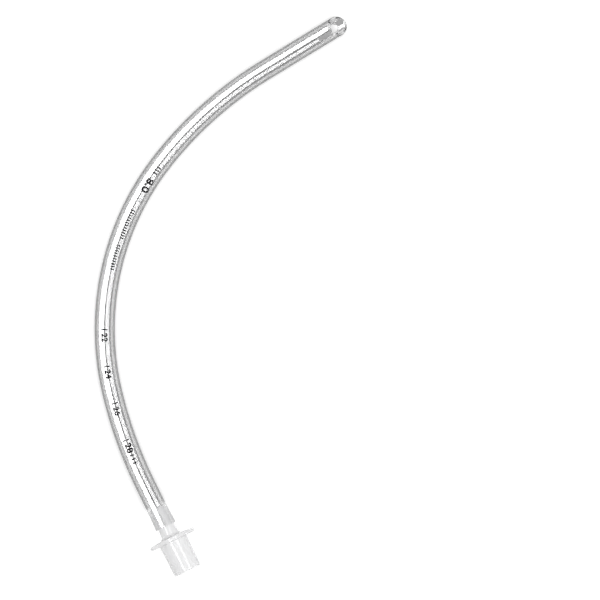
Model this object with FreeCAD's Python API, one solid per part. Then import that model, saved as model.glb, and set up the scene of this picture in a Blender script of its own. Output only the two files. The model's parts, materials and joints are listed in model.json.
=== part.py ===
import FreeCAD, Part
import math
import os

from FreeCAD import Placement, Rotation, Vector

# An uncuffed endotracheal tube with its 15 mm connector, in millimetres, with +Z up.
# It lies as it comes to rest: the tip and half of the main bend lie on the surface at z = 0,
# with the bevel facing up, and the rest of the tube rises to the thicker connector.
# The connector's mouth points along -Y, and the origin is under the middle of the whole part.

# Tube: its section, and its curve from the connector to the tip
tube_bore = 8.0
tube_wall = 1.4
tube_length = 331.0
machine_straight = 24.0
machine_bend_radius = 235.0
machine_bend_turn = 13.0
main_bend_radius = 145.0
main_bend_turn = 52.0
tip_bend_radius = 205.0
tip_bend_turn = 20.0
lying_turn = 26.0  # the part of the main bend that lies on the surface

# Tip: a bevel that faces up, and an oval eye in the wall opposite
bevel_angle = 46.0  # between the bevel and the tube's axis
outer_rim_rounding = 0.5
inner_rim_rounding = 0.25
eye_length = 12.5
eye_width = 5.8
eye_from_tip = 5.0
eye_rounding = 0.3

# Radiopaque line, moulded into the middle of the wall along its top
line_diameter = 0.5

# Connector: a spigot in the tube, a bare neck, a winged flange and a tapered barrel
spigot_depth = 11.3
spigot_wall = 0.6
spigot_growth = 0.089  # on the diameter, for each millimetre of length
spigot_lead = 0.3
neck_length = 4.4
shoulder_length = 1.7
shoulder_width = 2.0
shoulder_hollow = 0.3  # how far along its length the hollow shoulder turns outwards
flange_thickness = 2.6
flange_lip = 0.5  # how far the flange stands out from the barrel between its wings
wing_span = 25.6
wing_tip_radius = 3.2
wing_tip_thickness = 1.8
wing_rounding = 0.4
barrel_length = 17.5
barrel_diameter = 15.47  # at the flange
barrel_growth = 1 / 40  # on the diameter, for each millimetre of length
barrel_wall = 1.3  # at the mouth
barrel_bore_depth = 18.0
barrel_bore_draft = 0.7  # degrees
mouth_rounding = 0.4
floor_chamfer = 0.6

# Sizes that follow from those above
tube_radius = tube_bore / 2 + tube_wall
line_radius = tube_bore / 2 + tube_wall / 2
tip_straight = (
    tube_length
    - machine_straight
    - machine_bend_radius * math.radians(machine_bend_turn)
    - main_bend_radius * math.radians(main_bend_turn)
    - tip_bend_radius * math.radians(tip_bend_turn)
)
spigot_radius = tube_bore / 2
neck_start_radius = spigot_radius + spigot_growth * spigot_depth / 2
neck_end_radius = neck_start_radius + spigot_growth * neck_length / 2
spigot_bore_radius = spigot_radius - spigot_wall
stretched_radius = math.sqrt(neck_start_radius**2 + tube_radius**2 - spigot_radius**2)
flange_start = neck_length + shoulder_length
barrel_start = flange_start + flange_thickness
mouth = barrel_start + barrel_length
barrel_radius = barrel_diameter / 2
flange_radius = barrel_radius + flange_lip
shoulder_radius = neck_end_radius + shoulder_width
mouth_radius = barrel_radius - barrel_growth * barrel_length / 2
mouth_bore_radius = mouth_radius - barrel_wall
barrel_floor = mouth - barrel_bore_depth
floor_radius = mouth_bore_radius - barrel_bore_depth * math.tan(math.radians(barrel_bore_draft))

forwards = Vector(1, 0, 0)
upwards = Vector(0, 0, 1)


# Places along the tube's centreline. Each one's X runs towards the connector, its Y points
# to the inside of the bend, and its Z stands on the plane of the bend.
def advanced(place, length):
    return place.multiply(Placement(forwards * length, Rotation()))


def turned(place, radius, turn):
    return place.multiply(Placement(Vector(), Rotation(upwards, turn), Vector(0, radius, 0)))


def rolled(place, angle):
    return place.multiply(Placement(Vector(), Rotation(forwards, angle)))


def end_of(spans, place):
    for radius, amount in spans:
        place = turned(place, radius, amount) if radius else advanced(place, amount)
    return place


# A straight span has no radius and its length, and a bend has its radius and its turn.
lying_spans = [
    (None, tip_straight),
    (tip_bend_radius, tip_bend_turn),
    (main_bend_radius, lying_turn),
]
rising_spans = [
    (main_bend_radius, main_bend_turn - lying_turn),
    (machine_bend_radius, machine_bend_turn),
    (None, machine_straight - spigot_depth),
]

# The rising end is tilted about the centreline where it leaves the surface, by as much as
# brings the connector's flange down to the surface.
tip_place = Placement()
lift_place = end_of(lying_spans, tip_place)
flange_offset = advanced(end_of(rising_spans, Placement()), spigot_depth + flange_start).Base.y
rise = math.degrees(math.asin((flange_radius - tube_radius) / flange_offset))
rising_place = rolled(lift_place, rise)
spigot_place = end_of(rising_spans, rising_place)
connector_place = advanced(spigot_place, spigot_depth)


def placed(solid, place):
    solid.Placement = place.multiply(solid.Placement)
    return solid


def swept(section, place, spans):
    solids = []
    for radius, amount in spans:
        if radius:
            solid = section.revolve(Vector(0, radius, 0), upwards, amount)
        else:
            solid = section.extrude(forwards * amount)
        solids.append(placed(solid, place))
        place = end_of([(radius, amount)], place)
    return solids


def joined(solids):
    return solids[0].multiFuse(solids[1:]).removeSplitter().Solids[0]


def disc(radius, centre=Vector()):
    return Part.Face(Part.Wire(Part.Circle(centre, forwards, radius).toShape()))


# The line stays on top of the tube, so its place in the section turns back by the tilt.
def line_disc(tilt, from_axis, along=0.0):
    angle = math.radians(tilt)
    centre = Vector(along, from_axis * math.sin(angle), from_axis * math.cos(angle))
    return disc(line_diameter / 2, centre)


def make_bevel_cutter():
    reach = 2 * tube_radius
    angle = math.radians(bevel_angle)
    slope = Vector(math.cos(angle), 0, math.sin(angle))
    low = Vector(0, -reach, -tube_radius) - slope * reach
    high = low + slope * (4 * reach)
    back = forwards * (4 * reach)
    outline = Part.makePolygon([low, high, high - back, low - back, low])
    return Part.Face(outline).extrude(Vector(0, 2 * reach, 0))


def make_eye_cutter():
    centre = Vector(eye_from_tip + eye_length / 2, 0, -2 * tube_radius)
    oval = Part.Ellipse(centre, eye_length / 2, eye_width / 2).toShape()
    return Part.Face(Part.Wire(oval)).extrude(upwards * (2 * tube_radius))


# The blank starts ahead of the tip, so that the bevel cuts it clean through.
def bevelled(section):
    blank = section.extrude(forwards * (tip_straight + tube_wall))
    blank.translate(forwards * -tube_wall)
    return blank.cut(make_bevel_cutter())


def is_bevel(face):
    return isinstance(face.Surface, Part.Plane) and 0.1 < abs(face.normalAt(0, 0).x) < 0.9


# The outer rim comes first, as it is the longest, and the inner rim second.
def bevel_rims(tip):
    bevel = next(face for face in tip.Faces if is_bevel(face))
    return sorted(bevel.Edges, key=lambda edge: edge.Length, reverse=True)[:2]


def is_eye_rim(edge):
    box = edge.BoundBox
    middle = edge.valueAt((edge.FirstParameter + edge.LastParameter) / 2)
    outside = math.hypot(middle.y, middle.z) > line_radius
    return outside and box.XMin > eye_from_tip / 2 and box.XMax < tip_straight - tube_wall


# Nothing sharp may meet the windpipe, so the bevel and the eye have rounded rims.
def make_tip(section):
    tip = bevelled(section)
    tip = tip.makeFillet(outer_rim_rounding, [bevel_rims(tip)[0]])
    tip = tip.makeFillet(inner_rim_rounding, [bevel_rims(tip)[1]])
    tip = tip.cut(make_eye_cutter())
    return tip.makeFillet(eye_rounding, [edge for edge in tip.Edges if is_eye_rim(edge)])


def make_line_end():
    inner = line_disc(rise, line_radius)
    outer = line_disc(rise, (stretched_radius + neck_start_radius) / 2, spigot_depth)
    return Part.makeLoft([inner.OuterWire, outer.OuterWire], True, True)


# The machine end is stretched over the spigot's taper, and its wall thins as it stretches.
def make_stretched_end():
    outside = Part.makeCone(tube_radius, stretched_radius, spigot_depth, Vector(), forwards)
    bore = Part.makeCone(spigot_radius, neck_start_radius, spigot_depth, Vector(), forwards)
    return outside.cut(bore).cut(make_line_end())


def make_tube():
    ring = disc(tube_radius).cut(disc(tube_bore / 2))
    lying_section = ring.cut(line_disc(0, line_radius))
    rising_section = ring.cut(line_disc(rise, line_radius))
    bend_place = advanced(tip_place, tip_straight)
    solids = [placed(make_tip(lying_section), tip_place)]
    solids += swept(lying_section, bend_place, lying_spans[1:])
    solids += swept(rising_section, rising_place, rising_spans)
    solids.append(placed(make_stretched_end(), spigot_place))
    return joined(solids)


def make_line():
    lying_section = line_disc(0, line_radius)
    bend_place = advanced(tip_place, tip_straight)
    solids = [placed(bevelled(lying_section), tip_place)]
    solids += swept(lying_section, bend_place, lying_spans[1:])
    solids += swept(line_disc(rise, line_radius), rising_place, rising_spans)
    solids.append(placed(make_line_end(), spigot_place))
    return joined(solids)


def points(pairs):
    return [Vector(along, radius, 0) for along, radius in pairs]


def spun(edges):
    return Part.Face(Part.Wire(edges)).revolve(Vector(), forwards, 360)


# The outside of the spigot, neck, shoulder and barrel, and then the bore through them, are
# turned from half sections, whose points are given as distance along the axis and radius.
def make_outside():
    spigot_and_neck = [
        (-spigot_depth, 0),
        (-spigot_depth, spigot_radius - spigot_lead),
        (spigot_lead - spigot_depth, spigot_radius + spigot_growth * spigot_lead / 2),
        (neck_length, neck_end_radius),
    ]
    shoulder = [
        (neck_length, neck_end_radius),
        (
            flange_start - shoulder_hollow * shoulder_length,
            neck_end_radius + shoulder_hollow * shoulder_width,
        ),
        (flange_start, shoulder_radius),
    ]
    flange_middle = flange_start + flange_thickness / 2
    barrel = [
        (flange_start, shoulder_radius),
        (flange_middle, shoulder_radius),
        (flange_middle, barrel_radius),
        (barrel_start, barrel_radius),
        (mouth, mouth_radius),
        (mouth, 0),
        (-spigot_depth, 0),
    ]
    edges = Part.makePolygon(points(spigot_and_neck)).Edges
    edges.append(Part.Arc(*points(shoulder)).toShape())
    edges += Part.makePolygon(points(barrel)).Edges
    return spun(edges)


def make_bore():
    section = [
        (-spigot_depth, 0),
        (-spigot_depth, spigot_bore_radius),
        (barrel_floor, spigot_bore_radius),
        (barrel_floor, floor_radius - floor_chamfer),
        (barrel_floor + floor_chamfer, floor_radius),
        (mouth, mouth_bore_radius),
        (mouth, 0),
        (-spigot_depth, 0),
    ]
    return spun(Part.makePolygon(points(section)).Edges)


# The flange's outline, seen along the axis: a disc drawn out by straight sides to two wings
def make_flange_outline():
    tip_centre = wing_span / 2 - wing_tip_radius
    lean = math.acos((flange_radius - wing_tip_radius) / tip_centre)

    def on_disc(angle):
        return Vector(0, flange_radius * math.cos(angle), flange_radius * math.sin(angle))

    def on_tip(angle, side):
        across = side * (tip_centre + wing_tip_radius * math.cos(angle))
        return Vector(0, across, wing_tip_radius * math.sin(angle))

    upper, lower = math.pi / 2, -math.pi / 2
    edges = [
        Part.Arc(on_disc(lean), on_disc(upper), on_disc(math.pi - lean)).toShape(),
        Part.makeLine(on_disc(math.pi - lean), on_tip(lean, -1)),
        Part.Arc(on_tip(lean, -1), on_tip(0, -1), on_tip(-lean, -1)).toShape(),
        Part.makeLine(on_tip(-lean, -1), on_disc(lean - math.pi)),
        Part.Arc(on_disc(lean - math.pi), on_disc(lower), on_disc(-lean)).toShape(),
        Part.makeLine(on_disc(-lean), on_tip(-lean, 1)),
        Part.Arc(on_tip(-lean, 1), on_tip(0, 1), on_tip(lean, 1)).toShape(),
        Part.makeLine(on_tip(lean, 1), on_disc(lean)),
    ]
    return Part.Face(Part.Wire(edges))


# The side towards the tube is a shallow cone, which thins the wings towards their tips.
def make_flange():
    half_span = wing_span / 2
    section = [
        (barrel_start, 0),
        (flange_start, 0),
        (flange_start, shoulder_radius),
        (barrel_start - wing_tip_thickness, half_span),
        (barrel_start, half_span),
        (barrel_start, 0),
    ]
    blank = spun(Part.makePolygon(points(section)).Edges)
    prism = make_flange_outline().extrude(forwards * (2 * mouth))
    prism.translate(forwards * -mouth)
    flange = blank.common(prism)
    rim = [edge for edge in flange.Edges if is_flange_rim(edge)]
    return flange.makeFillet(wing_rounding, rim)


def is_flange_rim(edge):
    ends = [edge.valueAt(edge.FirstParameter), edge.valueAt(edge.LastParameter)]
    level = abs(ends[0].x - ends[1].x) < wing_tip_thickness / 2
    return level and all(math.hypot(end.y, end.z) > flange_radius - flange_lip / 2 for end in ends)


def is_mouth_rim(edge):
    return edge.BoundBox.XMin > mouth - mouth_rounding


def make_connector():
    body = make_outside().fuse(make_flange()).removeSplitter().cut(make_bore())
    body = body.makeFillet(mouth_rounding, [edge for edge in body.Edges if is_mouth_rim(edge)])
    return placed(body.Solids[0], connector_place)


# The connector's axis is brought into line with Y, seen from above, and the part's lowest
# point down to z = 0.
def make_part():
    nodes = {"tube": make_tube(), "radiopaque_line": make_line(), "connector": make_connector()}
    axis = connector_place.Rotation.multVec(forwards)
    heading = math.degrees(math.atan2(axis.y, axis.x))
    for solid in nodes.values():
        solid.rotate(Vector(), upwards, -90 - heading)
    box = Part.makeCompound(list(nodes.values())).optimalBoundingBox(False)
    for solid in nodes.values():
        solid.translate(Vector(-box.Center.x, -box.Center.y, -box.ZMin))
    return nodes


os.makedirs("parts", exist_ok=True)
for name, solid in make_part().items():
    solid.exportStep(f"parts/{name}.step")
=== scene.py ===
import json
import math

import bpy
from mathutils import Matrix, Vector


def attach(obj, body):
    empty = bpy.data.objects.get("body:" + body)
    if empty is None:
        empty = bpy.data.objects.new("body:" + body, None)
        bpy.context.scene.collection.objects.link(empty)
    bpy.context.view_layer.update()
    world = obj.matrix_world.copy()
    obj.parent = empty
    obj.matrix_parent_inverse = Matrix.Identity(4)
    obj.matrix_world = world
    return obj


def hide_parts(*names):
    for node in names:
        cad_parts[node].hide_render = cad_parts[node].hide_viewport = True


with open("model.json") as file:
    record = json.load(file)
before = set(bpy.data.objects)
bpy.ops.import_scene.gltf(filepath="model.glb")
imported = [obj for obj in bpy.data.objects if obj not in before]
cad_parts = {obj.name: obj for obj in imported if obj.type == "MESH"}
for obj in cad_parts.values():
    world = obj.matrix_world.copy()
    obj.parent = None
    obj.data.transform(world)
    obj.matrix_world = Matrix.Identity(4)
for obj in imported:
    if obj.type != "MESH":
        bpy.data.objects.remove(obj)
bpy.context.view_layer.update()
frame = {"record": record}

mm = 0.001

# The tube's curve, from the tip to the connector, in millimetres and degrees
tubeCurve = {
    "bore": 8.0,
    "wall": 1.4,
    "length": 331.0,
    "machineStraight": 24.0,
    "machineBend": (235.0, 13.0),  # radius and turn
    "mainBend": (145.0, 52.0),
    "tipBend": (205.0, 20.0),
    "lyingTurn": 26.0,  # the part of the main bend that lies on the floor
    "spigotDepth": 11.3,  # how far the connector reaches into the tube
    "coneMiddle": 17.45,  # from the tube's end to the middle of the connector's cone
}
tubeRadius = tubeCurve["bore"] / 2 + tubeCurve["wall"]
boreRadius = tubeCurve["bore"] / 2


def makeActive(piece):
    bpy.ops.object.select_all(action="DESELECT")
    piece.select_set(True)
    bpy.context.view_layer.objects.active = piece


# Places along the tube's middle: X runs towards the connector, Y to the inside of the bend.
def advanced(place, length):
    return place @ Matrix.Translation((length * mm, 0, 0))


def turned(place, radius, turn):
    middle = Vector((0, radius * mm, 0))
    swing = Matrix.Rotation(math.radians(turn), 4, "Z")
    return place @ Matrix.Translation(middle) @ swing @ Matrix.Translation(-middle)


def rolled(place, angle):
    return place @ Matrix.Rotation(math.radians(angle), 4, "X")


def tipStraight():
    bends = [tubeCurve[name] for name in ("machineBend", "mainBend", "tipBend")]
    bent = sum(radius * math.radians(turn) for radius, turn in bends)
    return tubeCurve["length"] - tubeCurve["machineStraight"] - bent


# The rising end is rolled about the tube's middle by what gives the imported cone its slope.
def riseAngle(coneAxis):
    risingTurn = tubeCurve["mainBend"][1] - tubeCurve["lyingTurn"] + tubeCurve["machineBend"][1]
    return math.degrees(math.asin(coneAxis.z / math.sin(math.radians(risingTurn))))


coneMount = frame["record"]["mounts"][0]
conePlace = Vector(coneMount["pos_m"])
coneAxis = Vector(coneMount["axis"])
rise = riseAngle(coneAxis)

# Each span has its radius, or none, its length or turn, and the roll at its start.
tubeSpans = [
    (None, tipStraight(), 0),
    (tubeCurve["tipBend"][0], tubeCurve["tipBend"][1], 0),
    (tubeCurve["mainBend"][0], tubeCurve["lyingTurn"], 0),
    (tubeCurve["mainBend"][0], tubeCurve["mainBend"][1] - tubeCurve["lyingTurn"], rise),
    (tubeCurve["machineBend"][0], tubeCurve["machineBend"][1], 0),
    (None, tubeCurve["machineStraight"] - tubeCurve["spigotDepth"], 0),
    (None, tubeCurve["spigotDepth"], 0),
]


# The place at a distance from the tip, and whether the tube is rolled there
def placeAt(distance):
    place = Matrix.Identity(4)
    roll = 0
    for radius, amount, spanRoll in tubeSpans:
        place = rolled(place, spanRoll)
        roll += spanRoll
        length = radius * math.radians(amount) if radius else amount
        if distance <= length:
            break
        place = turned(place, radius, amount) if radius else advanced(place, amount)
        distance -= length
    if radius:
        return turned(place, radius, math.degrees(distance / radius)), roll
    return advanced(place, distance), roll


# The curve is laid down from its own start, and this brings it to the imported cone.
def findRowPlace():
    end = advanced(placeAt(tubeCurve["length"])[0], tubeCurve["coneMiddle"])
    axis = end.to_3x3() @ Vector((1, 0, 0))
    heading = math.atan2(coneAxis.y, coneAxis.x) - math.atan2(axis.y, axis.x)
    swing = Matrix.Rotation(heading, 4, "Z")
    return Matrix.Translation(conePlace - swing @ end.translation) @ swing


rowPlace = findRowPlace()

# Tube wall
tubeMesh = {
    "sides": 144,
    "bevelAngle": 46.0,  # between the bevel and the tube's axis
    "tipRings": 30,
    "tipRing": 1.0,  # the spacing of the rings at the tip
    "turnStep": 0.8,
    "stretchedOuter": 5.782,
    "stretchedInner": 4.47,
    "outerRim": 0.7,
    "innerRim": 0.25,
    "endRim": 0.15,
    "eyeStart": 5.0,
    "eyeLength": 12.5,
    "eyeWidth": 5.8,
    "eyeRim": 0.3,
    "patchStart": 2,  # rings and sides that the eye's patch takes
    "patchRings": 18,
    "patchSides": 48,
    "outerCuts": 4,
    "innerCuts": 1,
    "outsideFrom": 4.95,  # from the middle line, what counts as the outside
    "smooth": 40,  # degrees between faces up to which the wall is shaded smooth
    "touch": 0.01,  # how near counts as the same place
}


# A selection is made in object mode, from edit mode and back.
def startSelecting(kind):
    bpy.ops.mesh.select_mode(type=kind)
    bpy.ops.mesh.select_all(action="DESELECT")
    bpy.ops.object.mode_set(mode="OBJECT")


def selectVertices(mesh, wanted):
    startSelecting("VERT")
    for vertex in mesh.vertices:
        vertex.select = wanted(vertex.co)
    bpy.ops.object.mode_set(mode="EDIT")


def selectEdges(mesh, wanted):
    startSelecting("EDGE")
    points = mesh.vertices
    for edge in mesh.edges:
        edge.select = wanted(points[edge.vertices[0]].co, points[edge.vertices[1]].co)
    bpy.ops.object.mode_set(mode="EDIT")


def selectFaces(mesh, wanted):
    startSelecting("FACE")
    for face in mesh.polygons:
        face.select = wanted(face.center)
    bpy.ops.object.mode_set(mode="EDIT")


def moveVertices(mesh, moved):
    bpy.ops.object.mode_set(mode="OBJECT")
    for vertex in mesh.vertices:
        vertex.co = moved(vertex.co)
    bpy.ops.object.mode_set(mode="EDIT")


def fromAxis(point):
    return math.hypot(point.y, point.z)


def isOuter(point):
    return fromAxis(point) > (tubeRadius + boreRadius) / 2 * mm


def extrudeAlong(place, length, steps):
    stride = place.to_3x3() @ Vector((length * mm / steps, 0, 0))
    for _ in range(steps):
        bpy.ops.mesh.extrude_region_move(TRANSFORM_OT_translate={"value": stride})


def spinAlong(place, radius, turn):
    bpy.ops.mesh.spin(
        steps=round(turn / tubeMesh["turnStep"]),
        angle=-math.radians(turn),
        center=place @ Vector((0, radius * mm, 0)),
        axis=place.to_3x3() @ Vector((0, 0, 1)),
    )


# The two rims are drawn along the tube's curve together, as an open wall with no ends.
def drawWall():
    place = Matrix.Identity(4)
    lastSpan = len(tubeSpans) - 1
    for index, (radius, amount, spanRoll) in enumerate(tubeSpans):
        place = rolled(place, spanRoll)
        if radius:
            spinAlong(place, radius, amount)
            place = turned(place, radius, amount)
            continue
        if index == 0:
            tipLength = tubeMesh["tipRings"] * tubeMesh["tipRing"]
            extrudeAlong(place, 2 * tubeMesh["tipRing"], 1)
            extrudeAlong(place, tipLength - 2 * tubeMesh["tipRing"], tubeMesh["tipRings"] - 2)
            extrudeAlong(place, amount - tipLength, 4)
        elif index == lastSpan:
            extrudeAlong(place, amount, 1)
        else:
            extrudeAlong(place, amount, 3)
        place = advanced(place, amount)
    return place


# The tube's end is stretched over the connector's spigot.
def stretchEnd(mesh, endPlace):
    middle = endPlace.translation
    nearEnd = tubeMesh["stretchedOuter"] * 1.2 * mm
    for outer, radius, stretched in (
        (True, tubeRadius, tubeMesh["stretchedOuter"]),
        (False, boreRadius, tubeMesh["stretchedInner"]),
    ):
        def atEnd(point):
            away = (point - middle).length
            return away < nearEnd and (away > (tubeRadius + boreRadius) / 2 * mm) == outer

        selectVertices(mesh, atEnd)
        ratio = stretched / radius
        bpy.ops.transform.resize(value=(ratio, ratio, ratio), center_override=middle)


def openEyePatch(mesh):
    ring = tubeMesh["tipRing"]
    start = tubeMesh["patchStart"] * ring * mm
    end = start + tubeMesh["patchRings"] * ring * mm
    reach = math.pi * tubeMesh["patchSides"] / tubeMesh["sides"]

    def inPatch(point):
        angle = abs(math.atan2(point.y, -point.z))
        return start < point.x < end and angle < reach and fromAxis(point) < 2 * tubeRadius * mm

    selectFaces(mesh, inPatch)
    bpy.ops.mesh.delete(type="FACE")


# The bevel's slope fades out along the tip, so that the rings end parallel to the cut.
def slopeTip(mesh):
    slope = 1 / math.tan(math.radians(tubeMesh["bevelAngle"]))
    fade = tubeMesh["tipRings"] * tubeMesh["tipRing"] * mm

    def sloped(point):
        if point.x > fade:
            return point
        shift = slope * (tubeRadius * mm + point.z) * (1 - point.x / fade) ** 2
        return Vector((point.x + shift, point.y, point.z))

    moveVertices(mesh, sloped)


# An oval rim of the eye, dropped onto the outer or the inner wall
def addEyeRim(mesh, radius):
    middle = (tubeMesh["eyeStart"] + tubeMesh["eyeLength"] / 2) * mm
    below = Vector((middle, 0, -3 * tubeRadius * mm))
    count = 2 * (tubeMesh["patchSides"] + tubeMesh["patchRings"])
    bpy.ops.mesh.select_all(action="DESELECT")
    bpy.ops.mesh.primitive_circle_add(vertices=count, radius=mm, location=below)
    halfLength = tubeMesh["eyeLength"] / 2
    halfWidth = tubeMesh["eyeWidth"] / 2
    bpy.ops.transform.resize(value=(halfLength, halfWidth, 1), center_override=below)

    def dropped(point):
        if point.z > -2 * tubeRadius * mm:
            return point
        return Vector((point.x, point.y, -math.sqrt((radius * mm) ** 2 - point.y**2)))

    moveVertices(mesh, dropped)


def bevelDistance(point):
    angle = math.radians(tubeMesh["bevelAngle"])
    return point.x * math.sin(angle) - (point.z + tubeRadius * mm) * math.cos(angle)


# The edges round the hole in one wall: those that a single face uses, away from the ends
def isPatchEdge(mesh, edge, used, outer):
    points = [mesh.vertices[index].co for index in edge.vertices]
    limit = (tubeMesh["patchStart"] + tubeMesh["patchRings"] + 2) * tubeMesh["tipRing"] * mm
    inReach = all(point.z < 0 and 0 < point.x < limit for point in points)
    atTip = all(bevelDistance(point) < 0.1 * mm for point in points)
    onWall = all(isOuter(point) == outer for point in points)
    return used[edge.index] < 2 and inReach and onWall and not atTip


def countUses(mesh):
    used = [0] * len(mesh.edges)
    for face in mesh.polygons:
        for loop in face.loop_indices:
            used[mesh.loops[loop].edge_index] += 1
    return used


def selectOpenEdges(mesh, wanted):
    startSelecting("EDGE")
    used = countUses(mesh)
    for edge in mesh.edges:
        edge.select = wanted(edge, used)
    bpy.ops.object.mode_set(mode="EDIT")


# Rings of faces run from the hole in the grid to the oval rim, and follow the wall.
def fillEyePatch(mesh, outer):
    radius = (tubeRadius if outer else boreRadius) * mm
    cuts = tubeMesh["outerCuts"] if outer else tubeMesh["innerCuts"]
    selectOpenEdges(mesh, lambda edge, used: isPatchEdge(mesh, edge, used, outer))
    bpy.ops.mesh.bridge_edge_loops(number_cuts=cuts, interpolation="LINEAR")
    bpy.ops.object.mode_set(mode="OBJECT")
    for vertex in mesh.vertices:
        if vertex.select:
            away = fromAxis(vertex.co)
            vertex.co.y *= radius / away
            vertex.co.z *= radius / away
    bpy.ops.object.mode_set(mode="EDIT")


def isEyeRim(points, outer):
    middle = (tubeMesh["eyeStart"] + tubeMesh["eyeLength"] / 2) * mm
    for point in points:
        along = (point.x - middle) / (tubeMesh["eyeLength"] / 2 * mm)
        across = point.y / (tubeMesh["eyeWidth"] / 2 * mm)
        if point.z > 0 or abs(math.hypot(along, across) - 1) > 0.02:
            return False
        if outer is not None and isOuter(point) != outer:
            return False
    return True


def selectEyeRims(mesh):
    selectEdges(mesh, lambda a, b: isEyeRim((a, b), isOuter(a)))


def cutEye(mesh):
    for outer in (True, False):
        addEyeRim(mesh, tubeRadius if outer else boreRadius)
        fillEyePatch(mesh, outer)
    selectOpenEdges(
        mesh,
        lambda edge, used: used[edge.index] < 2
        and isEyeRim([mesh.vertices[index].co for index in edge.vertices], None),
    )
    bpy.ops.mesh.bridge_edge_loops()
    bpy.ops.mesh.select_all(action="SELECT")
    bpy.ops.mesh.normals_make_consistent(inside=False)
    selectEyeRims(mesh)
    bpy.ops.mesh.bevel(offset=tubeMesh["eyeRim"] * mm, segments=4, affect="EDGES")


def closeEnds(mesh, endPlace):
    touch = tubeMesh["touch"] * mm

    def atTip(point):
        return abs(bevelDistance(point)) < touch

    def atMachineEnd(point):
        return abs((endPlace.inverted() @ point).x) < touch and point.x > 0.1

    for atEnd in (atTip, atMachineEnd):
        selectEdges(mesh, lambda a, b: atEnd(a) and atEnd(b))
        bpy.ops.mesh.bridge_edge_loops()
    for outer, rounding in ((True, tubeMesh["outerRim"]), (False, tubeMesh["innerRim"])):
        selectEdges(
            mesh,
            lambda a, b: atTip(a) and atTip(b) and isOuter(a) == outer and isOuter(b) == outer,
        )
        bpy.ops.mesh.bevel(offset=rounding * mm, segments=5, affect="EDGES")

    def onEndRim(point):
        local = endPlace.inverted() @ point
        rims = (tubeMesh["stretchedOuter"], tubeMesh["stretchedInner"])
        onRim = any(abs(fromAxis(local) - radius * mm) < touch for radius in rims)
        return atMachineEnd(point) and onRim

    def alongRim(a, b):
        sameRim = abs(fromAxis(endPlace.inverted() @ a) - fromAxis(endPlace.inverted() @ b)) < 0.1 * mm
        return onEndRim(a) and onEndRim(b) and sameRim

    selectEdges(mesh, alongRim)
    bpy.ops.mesh.bevel(offset=tubeMesh["endRim"] * mm, segments=2, affect="EDGES")


# The distance from the tube's middle line, in millimetres
def fromTubeMiddle(point):
    place = Matrix.Identity(4)
    nearest = 1000.0
    for radius, amount, spanRoll in tubeSpans:
        place = rolled(place, spanRoll)
        local = place.inverted() @ point / mm
        if radius:
            angle = math.degrees(math.atan2(local.x, radius - local.y))
            if -0.5 < angle < amount + 0.5:
                away = math.hypot(math.hypot(local.x, radius - local.y) - radius, local.z)
                nearest = min(nearest, away)
            place = turned(place, radius, amount)
        else:
            if -0.5 < local.x < amount + 0.5:
                nearest = min(nearest, math.hypot(local.y, local.z))
            place = advanced(place, amount)
    return nearest


# The painted edge shade by facing belongs to the outside alone, so each point of the wall says where
# it is.
def markOutside(wall):
    marks = wall.data.attributes.new("outside", "FLOAT", "POINT")
    for vertex, mark in zip(wall.data.vertices, marks.data):
        mark.value = 1.0 if fromTubeMiddle(vertex.co) > tubeMesh["outsideFrom"] else 0.0


def makeTubeWall():
    sides = tubeMesh["sides"]
    quarter = (0, math.pi / 2, 0)
    bpy.ops.object.select_all(action="DESELECT")
    bpy.ops.mesh.primitive_circle_add(vertices=sides, radius=tubeRadius * mm, rotation=quarter)
    wall = bpy.context.object
    wall.name = "tube_wall"
    bpy.ops.object.transform_apply(rotation=True)
    bpy.ops.object.mode_set(mode="EDIT")
    bpy.ops.mesh.primitive_circle_add(vertices=sides, radius=boreRadius * mm, rotation=quarter)
    bpy.ops.mesh.select_all(action="SELECT")
    endPlace = drawWall()
    stretchEnd(wall.data, endPlace)
    openEyePatch(wall.data)
    slopeTip(wall.data)
    cutEye(wall.data)
    closeEnds(wall.data, endPlace)
    bpy.ops.mesh.select_all(action="SELECT")
    bpy.ops.mesh.normals_make_consistent(inside=False)
    bpy.ops.object.mode_set(mode="OBJECT")
    markOutside(wall)
    wall.data.transform(rowPlace)
    bpy.ops.object.shade_smooth_by_angle(angle=math.radians(tubeMesh["smooth"]))
    return wall


tubeWall = makeTubeWall()
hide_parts("tube")
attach(tubeWall, "root")
print("tube wall:", len(tubeWall.data.polygons), "faces, open edges",
      sum(use != 2 for use in countUses(tubeWall.data)))

# Print: plain numbers and ticks, whose tops point to the inside of the bend
printSettings = {
    "lift": 0.01,  # off the wall
    "depth": 0.03,
    "bandWidth": 0.35,  # the figures are cut into bands this wide, to follow the wall
    "merge": 0.0005,  # for letters of height 1
    # figures, distance from the tip, length, height, distance to the inside of the bend, and how far
    # the strokes are thickened, for letters of height 1
    "numbers": [
        ("8.0", 135.0, 8.2, 4.1, 1.2, 0.02),
        ("22", 222.2, 4.8, 3.3, 0.0, 0.03),
        ("24", 241.8, 4.8, 3.3, 0.0, 0.03),
        ("26", 261.9, 4.8, 3.3, 0.0, 0.03),
        ("28", 282.4, 5.3, 3.7, 0.0, 0.03),
    ],
    # strokes across the tube: their name, places along it, width, height and place aside
    "strokes": [
        ("ticks", (220.3, 240.1, 260.1, 280.6), 0.65, 3.4, 0.0),
        ("small_ticks", (127.8, 129.6, 131.4), 0.6, 2.8, 1.0),
        ("fine_ticks_a", [154.5 + 1.45 * count for count in range(12)], 0.65, 2.3, 0.8),
        ("fine_ticks_b", [174.8 + 1.45 * count for count in range(10)], 0.65, 2.3, 0.5),
        ("end_marks", (289.2, 291.3, 293.4), 0.8, 2.2, 0.0),
    ],
}


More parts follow.
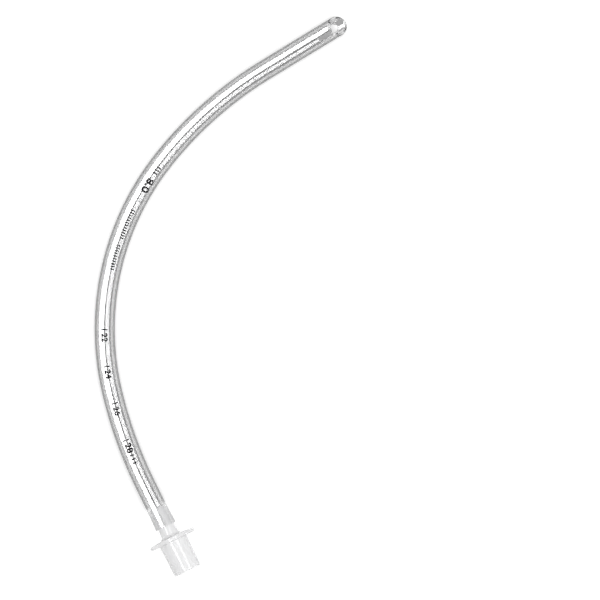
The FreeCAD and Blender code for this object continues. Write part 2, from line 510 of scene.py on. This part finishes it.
def settleText(words, length, height, weight):
    bpy.ops.object.select_all(action="DESELECT")
    bpy.ops.object.text_add()
    label = bpy.context.object
    label.data.body = words
    label.data.offset = weight
    label.data.extrude = printSettings["depth"] / 2
    bpy.ops.object.convert(target="MESH")
    makeActive(label)
    bpy.ops.object.mode_set(mode="EDIT")
    bpy.ops.mesh.select_all(action="SELECT")
    bpy.ops.mesh.remove_doubles(threshold=printSettings["merge"])
    bpy.ops.mesh.normals_make_consistent(inside=False)
    bpy.ops.object.mode_set(mode="OBJECT")
    corners = [vertex.co for vertex in label.data.vertices]
    low = [min(corner[axis] for corner in corners) for axis in range(3)]
    high = [max(corner[axis] for corner in corners) for axis in range(3)]
    across = length / (high[0] - low[0])
    upward = height / (high[1] - low[1])
    for vertex in label.data.vertices:
        vertex.co.x = (vertex.co.x - low[0]) * across
        vertex.co.y = (vertex.co.y - low[1]) * upward - height / 2
        vertex.co.z = vertex.co.z - low[2]
    return label


# Bands along the tube let a flat shape bend round the wall.
def cutIntoBands(label, height):
    makeActive(label)
    bpy.ops.object.mode_set(mode="EDIT")
    bands = math.ceil(height / printSettings["bandWidth"])
    for band in range(1, bands):
        bpy.ops.mesh.select_all(action="SELECT")
        across = height * (band / bands - 0.5)
        bpy.ops.mesh.bisect(plane_co=(0, across, 0), plane_no=(0, 1, 0))
    bpy.ops.object.mode_set(mode="OBJECT")


def wrapOnTube(label, start, aside):
    for vertex in label.data.vertices:
        place, roll = placeAt(start + vertex.co.x)
        angle = (vertex.co.y + aside) / tubeRadius + math.radians(roll)
        away = tubeRadius + printSettings["lift"] + vertex.co.z
        local = Vector((0, away * math.sin(angle) * mm, away * math.cos(angle) * mm))
        vertex.co = rowPlace @ (place @ local)


def settleStrokes(places, width, height):
    bpy.ops.object.select_all(action="DESELECT")
    depth = printSettings["depth"]
    middle = (places[0], 0, depth / 2)
    bpy.ops.mesh.primitive_cube_add(size=1, location=middle, scale=(width, height, depth))
    label = bpy.context.object
    bpy.ops.object.transform_apply(location=True, scale=True)
    bpy.ops.object.mode_set(mode="EDIT")
    for before, place in zip(places, places[1:]):
        bpy.ops.mesh.duplicate_move(TRANSFORM_OT_translate={"value": (place - before, 0, 0)})
    bpy.ops.object.mode_set(mode="OBJECT")
    return label


def makePrint():
    labels = []
    for words, start, length, height, aside, weight in printSettings["numbers"]:
        label = settleText(words, length, height, weight)
        cutIntoBands(label, height)
        wrapOnTube(label, start, aside)
        label.name = "print_" + words.replace(".", "_")
        labels.append(label)
    for name, places, width, height, aside in printSettings["strokes"]:
        label = settleStrokes(places, width, height)
        cutIntoBands(label, height)
        wrapOnTube(label, 0.0, aside)
        label.name = "print_" + name
        labels.append(label)
    return labels


printLabels = makePrint()
for label in printLabels:
    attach(label, "root")
print("print:", len(printLabels), "pieces")


# Materials
def newMaterial(name):
    material = bpy.data.materials.new(name)
    material.use_nodes = True
    return material, material.node_tree.nodes, material.node_tree.links


# Shared by all finishes: slow clouds and fine specks, mixed into one value about 0.5
def makeGrainGroup():
    group = bpy.data.node_groups.new("plasticGrain", "ShaderNodeTree")
    for name, start in (("Cloud Scale", 250.0), ("Speck Scale", 2500.0), ("Speck Share", 0.3)):
        socket = group.interface.new_socket(name=name, in_out="INPUT", socket_type="NodeSocketFloat")
        socket.default_value = start
    group.interface.new_socket(name="Grain", in_out="OUTPUT", socket_type="NodeSocketFloat")
    nodes, links = group.nodes, group.links
    given = nodes.new("NodeGroupInput")
    result = nodes.new("NodeGroupOutput")
    place = nodes.new("ShaderNodeTexCoord")
    share = nodes.new("ShaderNodeMix")
    for name, socket in (("Cloud Scale", 2), ("Speck Scale", 3)):
        noise = nodes.new("ShaderNodeTexNoise")
        noise.inputs["Detail"].default_value = 2.0
        links.new(place.outputs["Object"], noise.inputs["Vector"])
        links.new(given.outputs[name], noise.inputs["Scale"])
        links.new(noise.outputs["Fac"], share.inputs[socket])
    links.new(given.outputs["Speck Share"], share.inputs[0])
    links.new(share.outputs[0], result.inputs["Grain"])
    return group


grainGroup = makeGrainGroup()


def addGrain(nodes, cloudScale, speckScale, speckShare):
    grain = nodes.new("ShaderNodeGroup")
    grain.node_tree = grainGroup
    grain.inputs["Cloud Scale"].default_value = cloudScale
    grain.inputs["Speck Scale"].default_value = speckScale
    grain.inputs["Speck Share"].default_value = speckShare
    return grain.outputs["Grain"]


# The grain spread over a range of values, as for a roughness
def spread(nodes, links, grain, low, high):
    ranged = nodes.new("ShaderNodeMapRange")
    ranged.inputs["From Min"].default_value = 0.3
    ranged.inputs["From Max"].default_value = 0.7
    ranged.inputs["To Min"].default_value = low
    ranged.inputs["To Max"].default_value = high
    links.new(grain, ranged.inputs["Value"])
    return ranged.outputs["Result"]


def blendColours(nodes, links, grain, first, second):
    blended = nodes.new("ShaderNodeMix")
    blended.data_type = "RGBA"
    blended.inputs[6].default_value = (*first, 1)
    blended.inputs[7].default_value = (*second, 1)
    links.new(spread(nodes, links, grain, 0.0, 1.0), blended.inputs[0])
    return blended.outputs[2]


def addBump(nodes, links, grain, shader, strength, distance):
    bump = nodes.new("ShaderNodeBump")
    bump.inputs["Strength"].default_value = strength
    bump.inputs["Distance"].default_value = distance * mm
    links.new(grain, bump.inputs["Height"])
    links.new(bump.outputs["Normal"], shader.inputs["Normal"])


def setRamp(ramp, stops):
    while len(ramp.elements) < len(stops):
        ramp.elements.new(1.0)
    for element, (position, grey) in zip(ramp.elements, stops):
        element.position = position
        element.color = (grey, grey, grey, 1)


clearLook = {
    "ior": 1.53,
    "grain": (220.0, 1800.0, 0.25),  # cloud scale, speck scale and the specks' share
    "roughness": (0.012, 0.04),
    "bump": (0.05, 0.05),  # strength, and height in millimetres
    "coatIor": 1.85,  # a second sheen, for the softbox
    "coatFades": (0.22, 0.45),  # facing away, from where it is whole to where it ends
    "inside": (0.96, 0.96, 0.962),
    "tint": (0.5, 0.502, 0.506),
    "density": 60.0,
    "facing": 0.55,
    # Painted shade: the outside of the wall is darkened towards the tube's edges by facing away,
    # standing in for dark surroundings seen through the edges.
    "edgeShades": ((0.0, 0.96), (0.24, 0.82), (0.42, 0.2), (0.6, 0.13), (0.95, 0.06)),  # by facing away
    "shadow": 0.35,  # what a lamp's ray keeps at each face of the wall
    "sleeveShadow": 1.0,  # and where the wall is stretched thin over the spigot
    # Painted edge shade: how much of it is left where the wall is stretched over the spigot.
    "sleeveEdgeShade": 0.15,  # how much of the tint is left there
    "sleeve": (12.6, 13.8),  # millimetres from the tube's end over which that changes
}


# Rays from the lamps and from matte surfaces pass a clear piece, and its shadow keeps some tint.
def letLampsThrough(nodes, links, shader, shadowTint, sleeve=None):
    seen = nodes.new("ShaderNodeLightPath")
    passing = nodes.new("ShaderNodeBsdfTransparent")
    passing.inputs["Color"].default_value = (shadowTint, shadowTint, shadowTint, 1)
    if sleeve:
        links.new(sleeve, passing.inputs["Color"])
    surface = shader.outputs["BSDF"]
    for kind in ("Is Diffuse Ray", "Is Shadow Ray"):
        mixed = nodes.new("ShaderNodeMixShader")
        links.new(seen.outputs[kind], mixed.inputs["Fac"])
        links.new(surface, mixed.inputs[1])
        links.new(passing.outputs["BSDF"], mixed.inputs[2])
        surface = mixed.outputs["Shader"]
    links.new(surface, nodes["Material Output"].inputs["Surface"])


# One value where the wall is stretched over the spigot, and another along the rest of it
def nearSleeve(nodes, links, onSleeve, elsewhere):
    place = nodes.new("ShaderNodeTexCoord")
    away = nodes.new("ShaderNodeVectorMath")
    away.operation = "DISTANCE"
    links.new(place.outputs["Object"], away.inputs[0])
    away.inputs[1].default_value = conePlace - coneAxis * tubeCurve["coneMiddle"] * mm
    sleeve = nodes.new("ShaderNodeMapRange")
    sleeve.inputs["From Min"].default_value = clearLook["sleeve"][0] * mm
    sleeve.inputs["From Max"].default_value = clearLook["sleeve"][1] * mm
    sleeve.inputs["To Min"].default_value = onSleeve
    sleeve.inputs["To Max"].default_value = elsewhere
    links.new(away.outputs["Value"], sleeve.inputs["Value"])
    return sleeve.outputs["Result"]


def makeClearMaterial():
    material, nodes, links = newMaterial("clear_tube")
    shader = nodes["Principled BSDF"]
    shader.inputs["Transmission Weight"].default_value = 1.0
    shader.inputs["IOR"].default_value = clearLook["ior"]
    shader.inputs["Coat IOR"].default_value = clearLook["coatIor"]
    shader.inputs["Coat Roughness"].default_value = clearLook["roughness"][0]
    grain = addGrain(nodes, *clearLook["grain"])
    links.new(spread(nodes, links, grain, *clearLook["roughness"]), shader.inputs["Roughness"])
    addBump(nodes, links, grain, shader, *clearLook["bump"])
    # Painted shade: a ramp on facing darkens the outer wall's base colour towards the tube's edges.
    facing = nodes.new("ShaderNodeLayerWeight")
    facing.inputs["Blend"].default_value = clearLook["facing"]
    edgeShadeRamp = nodes.new("ShaderNodeValToRGB")
    setRamp(edgeShadeRamp.color_ramp, clearLook["edgeShades"])
    links.new(facing.outputs["Facing"], edgeShadeRamp.inputs["Fac"])
    outside = nodes.new("ShaderNodeAttribute")
    outside.attribute_name = "outside"
    tint = nodes.new("ShaderNodeMix")
    tint.data_type = "RGBA"
    tint.inputs[6].default_value = (*clearLook["inside"], 1)
    sheen = nodes.new("ShaderNodeMapRange")
    sheen.inputs["From Min"].default_value = clearLook["coatFades"][0]
    sheen.inputs["From Max"].default_value = clearLook["coatFades"][1]
    sheen.inputs["To Min"].default_value = 1.0
    sheen.inputs["To Max"].default_value = 0.0
    links.new(facing.outputs["Facing"], sheen.inputs["Value"])
    links.new(sheen.outputs["Result"], shader.inputs["Coat Weight"])
    # The wall's colour is the inside colour, or the painted edge shade on the outside, with less of it
    # over the sleeve.
    share = nodes.new("ShaderNodeMath")
    share.operation = "MULTIPLY"
    links.new(outside.outputs["Fac"], share.inputs[0])
    links.new(nearSleeve(nodes, links, clearLook["sleeveEdgeShade"], 1.0), share.inputs[1])
    links.new(share.outputs["Value"], tint.inputs[0])
    links.new(edgeShadeRamp.outputs["Color"], tint.inputs[7])
    links.new(tint.outputs[2], shader.inputs["Base Color"])
    haze = nodes.new("ShaderNodeVolumeAbsorption")
    haze.inputs["Color"].default_value = (*clearLook["tint"], 1)
    haze.inputs["Density"].default_value = clearLook["density"]
    links.new(haze.outputs["Volume"], nodes["Material Output"].inputs["Volume"])
    shadow = nearSleeve(nodes, links, clearLook["sleeveShadow"], clearLook["shadow"])
    letLampsThrough(nodes, links, shader, clearLook["shadow"], shadow)
    return material


# A finish whose colour lies between two shades, by its grain
def makePlainMaterial(name, look):
    material, nodes, links = newMaterial(name)
    shader = nodes["Principled BSDF"]
    grain = addGrain(nodes, *look["grain"])
    links.new(blendColours(nodes, links, grain, *look["shades"]), shader.inputs["Base Color"])
    links.new(spread(nodes, links, grain, *look["roughness"]), shader.inputs["Roughness"])
    return material, grain


inkLook = {
    "shades": ((0.008, 0.008, 0.009), (0.03, 0.03, 0.032)),
    "grain": (900.0, 6000.0, 0.5),
    "roughness": (0.5, 0.75),
    "gloss": 0.0,
}


def makeInkMaterial():
    material = makePlainMaterial("print", inkLook)[0]
    shader = material.node_tree.nodes["Principled BSDF"]
    shader.inputs["Specular IOR Level"].default_value = inkLook["gloss"]
    return material


connectorLook = {
    "shades": ((0.87, 0.87, 0.875), (0.895, 0.895, 0.9)),
    "grain": (120.0, 3000.0, 0.3),
    "roughness": (0.08, 0.16),
    "bump": (0.1, 0.03),
    "transmission": 0.4,
    "ior": 1.49,
    "shadow": 0.85,
}


def makeConnectorMaterial():
    material, grain = makePlainMaterial("connector", connectorLook)
    nodes, links = material.node_tree.nodes, material.node_tree.links
    shader = nodes["Principled BSDF"]
    shader.inputs["Transmission Weight"].default_value = connectorLook["transmission"]
    shader.inputs["IOR"].default_value = connectorLook["ior"]
    addBump(nodes, links, grain, shader, *connectorLook["bump"])
    letLampsThrough(nodes, links, shader, connectorLook["shadow"])
    return material


lineLook = {
    "shades": ((0.55, 0.555, 0.56), (0.65, 0.655, 0.66)),
    "grain": (700.0, 5000.0, 0.5),
    "roughness": (0.45, 0.7),
}


def makeLineMaterial():
    return makePlainMaterial("radiopaque_line", lineLook)[0]


def setMaterial(piece, material):
    piece.data.materials.clear()
    piece.data.materials.append(material)


setMaterial(tubeWall, makeClearMaterial())
ink = makeInkMaterial()
for label in printLabels:
    setMaterial(label, ink)
connector = bpy.data.objects["connector"]
connector.material_slots[0].material = makeConnectorMaterial()
radiopaqueLine = bpy.data.objects["radiopaque_line"]
radiopaqueLine.material_slots[0].material = makeLineMaterial()
print("materials: clear_tube, print, connector, radiopaque_line")

# Stage: floor, sky, lamps and camera
stage = {
    "middle": (21.46, -12.3),  # the floor under the picture's middle
    "turn": -26.33,  # the camera's turn about the vertical, in degrees
    "pictureWidth": 320.0,  # how much of the floor the camera sees, in millimetres
    "sensor": 36.0,
    "cameraHeight": 2500.0,
    "floorSize": 12.0,  # in metres
    "floorGrey": (0.85, 0.85, 0.85),
    "floorGlow": 0.33,  # brings the seen floor to white
    "floorBounce": (0.8, 0.8, 0.8),  # the grey that lights the part from below
    "horizon": (0.1, 0.1, 0.102),
    "zenith": (0.35, 0.35, 0.35),
    "zenithFrom": 0.9,
}


def makeFloor():
    bpy.ops.object.select_all(action="DESELECT")
    bpy.ops.mesh.primitive_plane_add(size=stage["floorSize"])
    floor = bpy.context.object
    floor.name = "floor"
    material, nodes, links = newMaterial("floor")
    nodes.remove(nodes["Principled BSDF"])
    output = nodes["Material Output"]
    seen = nodes.new("ShaderNodeLightPath")
    sight = seen.outputs["Is Camera Ray"]
    for kind in ("Is Glossy Ray", "Is Transmission Ray"):
        either = nodes.new("ShaderNodeMath")
        either.operation = "MAXIMUM"
        links.new(sight, either.inputs[0])
        links.new(seen.outputs[kind], either.inputs[1])
        sight = either.outputs["Value"]
    matte = nodes.new("ShaderNodeBsdfDiffuse")
    matte.inputs["Color"].default_value = (*stage["floorGrey"], 1)
    glow = nodes.new("ShaderNodeEmission")
    glow.inputs["Strength"].default_value = stage["floorGlow"]
    white = nodes.new("ShaderNodeAddShader")
    links.new(matte.outputs["BSDF"], white.inputs[0])
    links.new(glow.outputs["Emission"], white.inputs[1])
    plain = nodes.new("ShaderNodeBsdfDiffuse")
    plain.inputs["Color"].default_value = (*stage["floorBounce"], 1)
    mixed = nodes.new("ShaderNodeMixShader")
    links.new(sight, mixed.inputs["Fac"])
    links.new(plain.outputs["BSDF"], mixed.inputs[1])
    links.new(white.outputs["Shader"], mixed.inputs[2])
    links.new(mixed.outputs["Shader"], output.inputs["Surface"])
    setMaterial(floor, material)


def makeSky():
    world = bpy.data.worlds.new("sky")
    bpy.context.scene.world = world
    world.use_nodes = True
    nodes, links = world.node_tree.nodes, world.node_tree.links
    background = nodes["Background"]
    place = nodes.new("ShaderNodeTexCoord")
    split = nodes.new("ShaderNodeSeparateXYZ")
    ramp = nodes.new("ShaderNodeValToRGB")
    ramp.color_ramp.elements[0].position = 0.0
    ramp.color_ramp.elements[0].color = (*stage["horizon"], 1)
    ramp.color_ramp.elements[1].position = stage["zenithFrom"]
    ramp.color_ramp.elements[1].color = (*stage["zenith"], 1)
    links.new(place.outputs["Generated"], split.inputs["Vector"])
    links.new(split.outputs["Z"], ramp.inputs["Fac"])
    seen = nodes.new("ShaderNodeLightPath")
    mixed = nodes.new("ShaderNodeMix")
    mixed.data_type = "RGBA"
    mixed.inputs[7].default_value = (1, 1, 1, 1)
    links.new(seen.outputs["Is Camera Ray"], mixed.inputs[0])
    links.new(ramp.outputs["Color"], mixed.inputs[6])
    links.new(mixed.outputs[2], background.inputs["Color"])


# Places and sizes in metres, powers in watts
lamps = {
    "softTop": ((0.02, -0.01, 1.6), (1.0, 1.0), 21),  # lights everything and shows in nothing
    "shine": ((-1.336, 1.309, 1.5), (3.32, 3.4), 215),  # the white bands on the tube
    "shineTurn": 135.7,
    # bright lines along the connector: their place aside of its cone, width and glow
    "strips": (("strip_left", -0.5, 0.3), ("strip_right", 0.95, 0.22)),
    "stripHeight": 1.5,
    "stripLength": 1.6,
    "stripGlow": 10,
    # soft light on the connector's flanks: place aside of its cone, and power
    "fills": (("fill_left", -1.0, 1.7), ("fill_right", 1.0, 2.8)),
    "fillHeight": 0.25,
    "fillSize": (0.6, 0.4),
}


# A lamp aims at its target, or straight down with a turn about the vertical.
def makeLamp(name, place, size, power, target=None, turn=0.0):
    bpy.ops.object.light_add(type="AREA", location=place)
    lamp = bpy.context.object
    lamp.name = name
    lamp.data.shape = "RECTANGLE"
    lamp.data.size, lamp.data.size_y = size
    lamp.data.energy = power
    lamp.rotation_euler = (0, 0, math.radians(turn))
    if target:
        aim = Vector(target) - Vector(place)
        lamp.rotation_euler = aim.to_track_quat("-Z", "Y").to_euler()
    return lamp


# A lamp that only these pieces meet
def shineOnly(lamp, name, pieces):
    group = bpy.data.collections.new(name)
    for piece in pieces:
        group.objects.link(piece)
    lamp.light_linking.receiver_collection = group


def hideFromGloss(lamp):
    lamp.visible_glossy = False
    lamp.visible_transmission = False


def makeLamps():
    place, size, power = lamps["softTop"]
    hideFromGloss(makeLamp("soft_top", place, size, power, target=(place[0], place[1], 0)))
    shine = makeLamp("shine", *lamps["shine"], turn=lamps["shineTurn"])
    shine.visible_diffuse = False
    shineOnly(shine, "tube_shine", [tubeWall, radiopaqueLine])
    coneX, coneY = conePlace.x, conePlace.y
    for name, aside, width in lamps["strips"]:
        length = lamps["stripLength"]
        place = (coneX + aside, coneY, lamps["stripHeight"])
        power = lamps["stripGlow"] * math.pi * width * length
        strip = makeLamp(name, place, (width, length), power)
        strip.visible_diffuse = False
        shineOnly(strip, name, [connector])
    for name, aside, power in lamps["fills"]:
        place = (coneX + aside, coneY, lamps["fillHeight"])
        fill = makeLamp(name, place, lamps["fillSize"], power, target=(coneX, coneY, 0))
        hideFromGloss(fill)
        shineOnly(fill, name, [connector])


def makeCamera():
    x, y = stage["middle"]
    bpy.ops.object.camera_add(
        location=(x * mm, y * mm, stage["cameraHeight"] * mm),
        rotation=(0, 0, math.radians(stage["turn"])),
    )
    camera = bpy.context.object
    camera.data.sensor_width = stage["sensor"]
    camera.data.lens = stage["sensor"] * stage["cameraHeight"] / stage["pictureWidth"]
    bpy.context.scene.camera = camera


makeFloor()
makeSky()
makeLamps()
makeCamera()
bpy.context.scene.view_settings.view_transform = "Standard"
print("stage: floor, sky,", len(bpy.data.lights), "lamps and camera")
